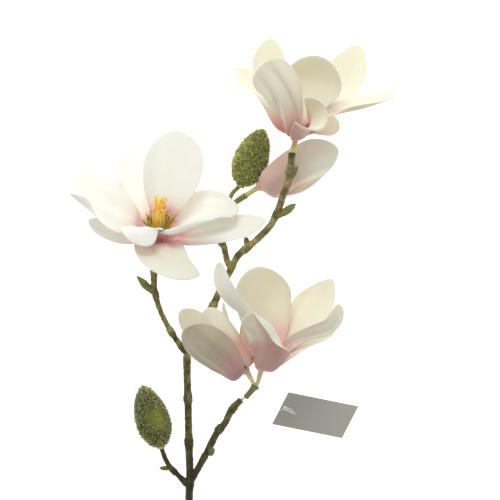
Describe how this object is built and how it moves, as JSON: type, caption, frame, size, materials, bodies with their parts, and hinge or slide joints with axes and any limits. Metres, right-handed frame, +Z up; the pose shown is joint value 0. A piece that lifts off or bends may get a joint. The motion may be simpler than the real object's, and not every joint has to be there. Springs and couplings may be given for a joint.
{
  "type": "artificial magnolia branch",
  "caption": "Lying spray of white magnolia flowers, pink at the base, with a half-open flower, furry buds, knobbly olive twigs and a blank label on a string.",
  "frame": {"origin": "on the table, under the middle of the spray's footprint, the label left out", "axes": "+Y along the spray towards the top flower, +X to its right, +Z up from the table"},
  "size_m": [0.2384, 0.4098, 0.0796],
  "materials": {
    "petal": "soft foam, cream white, pink at the base",
    "bark": "moulded bark, olive brown",
    "pedicel": "smooth, yellow green",
    "sleeve": "satin green tube",
    "fuzz": "flocked, green",
    "stamens": "orange and yellow, granular",
    "wire": "bare wire",
    "card": "plain grey card",
    "string": "clear thread"
  },
  "bodies": {
    "root": {"main_stem": "bark", "left_twig": "bark", "right_twig": "bark", "lower_bud_twig": "bark", "upper_twig": "bark", "side_flower_twig": "bark", "fork_wire": "wire", "fork_sleeve": "sleeve", "top_pedicel": "pedicel", "side_pedicel": "pedicel", "left_pedicel": "pedicel", "centre_pedicel": "pedicel", "half_open_pedicel": "pedicel", "upper_bud": "fuzz", "lower_bud": "fuzz", "left_flower_centre": "stamens", "left_petal_back": "petal", "left_petal_back_left": "petal", "left_petal_far_left": "petal", "left_petal_low_left": "petal", "left_petal_lip": "petal", "left_petal_upper_right": "petal", "left_petal_front_right": "petal", "left_petal_low_right": "petal", "left_petal_hanging": "petal", "top_flower_centre": "stamens", "top_petal_back_left": "petal", "top_petal_far_left": "petal", "top_petal_front_left": "petal", "top_petal_front": "petal", "top_petal_back_right": "petal", "top_petal_far_right": "petal", "top_petal_hooked": "petal", "top_petal_low_right": "petal", "side_flower_centre": "stamens", "side_petal_front": "petal", "side_petal_upper": "petal", "side_petal_lower": "petal", "side_petal_back": "petal", "side_petal_inner": "petal", "centre_flower_centre": "stamens", "centre_petal_tall_left": "petal", "centre_petal_back": "petal", "centre_petal_folded": "petal", "centre_petal_upper_right": "petal", "centre_petal_curled_right": "petal", "centre_petal_low_right": "petal", "centre_petal_back_left": "petal", "half_open_flower_centre": "stamens", "half_open_petal_front": "petal", "half_open_petal_right": "petal", "half_open_petal_left": "petal", "half_open_petal_inner": "petal", "half_open_petal_back": "petal", "tag_card": "card", "tag_string": "string"}
  },
  "joints": []
}
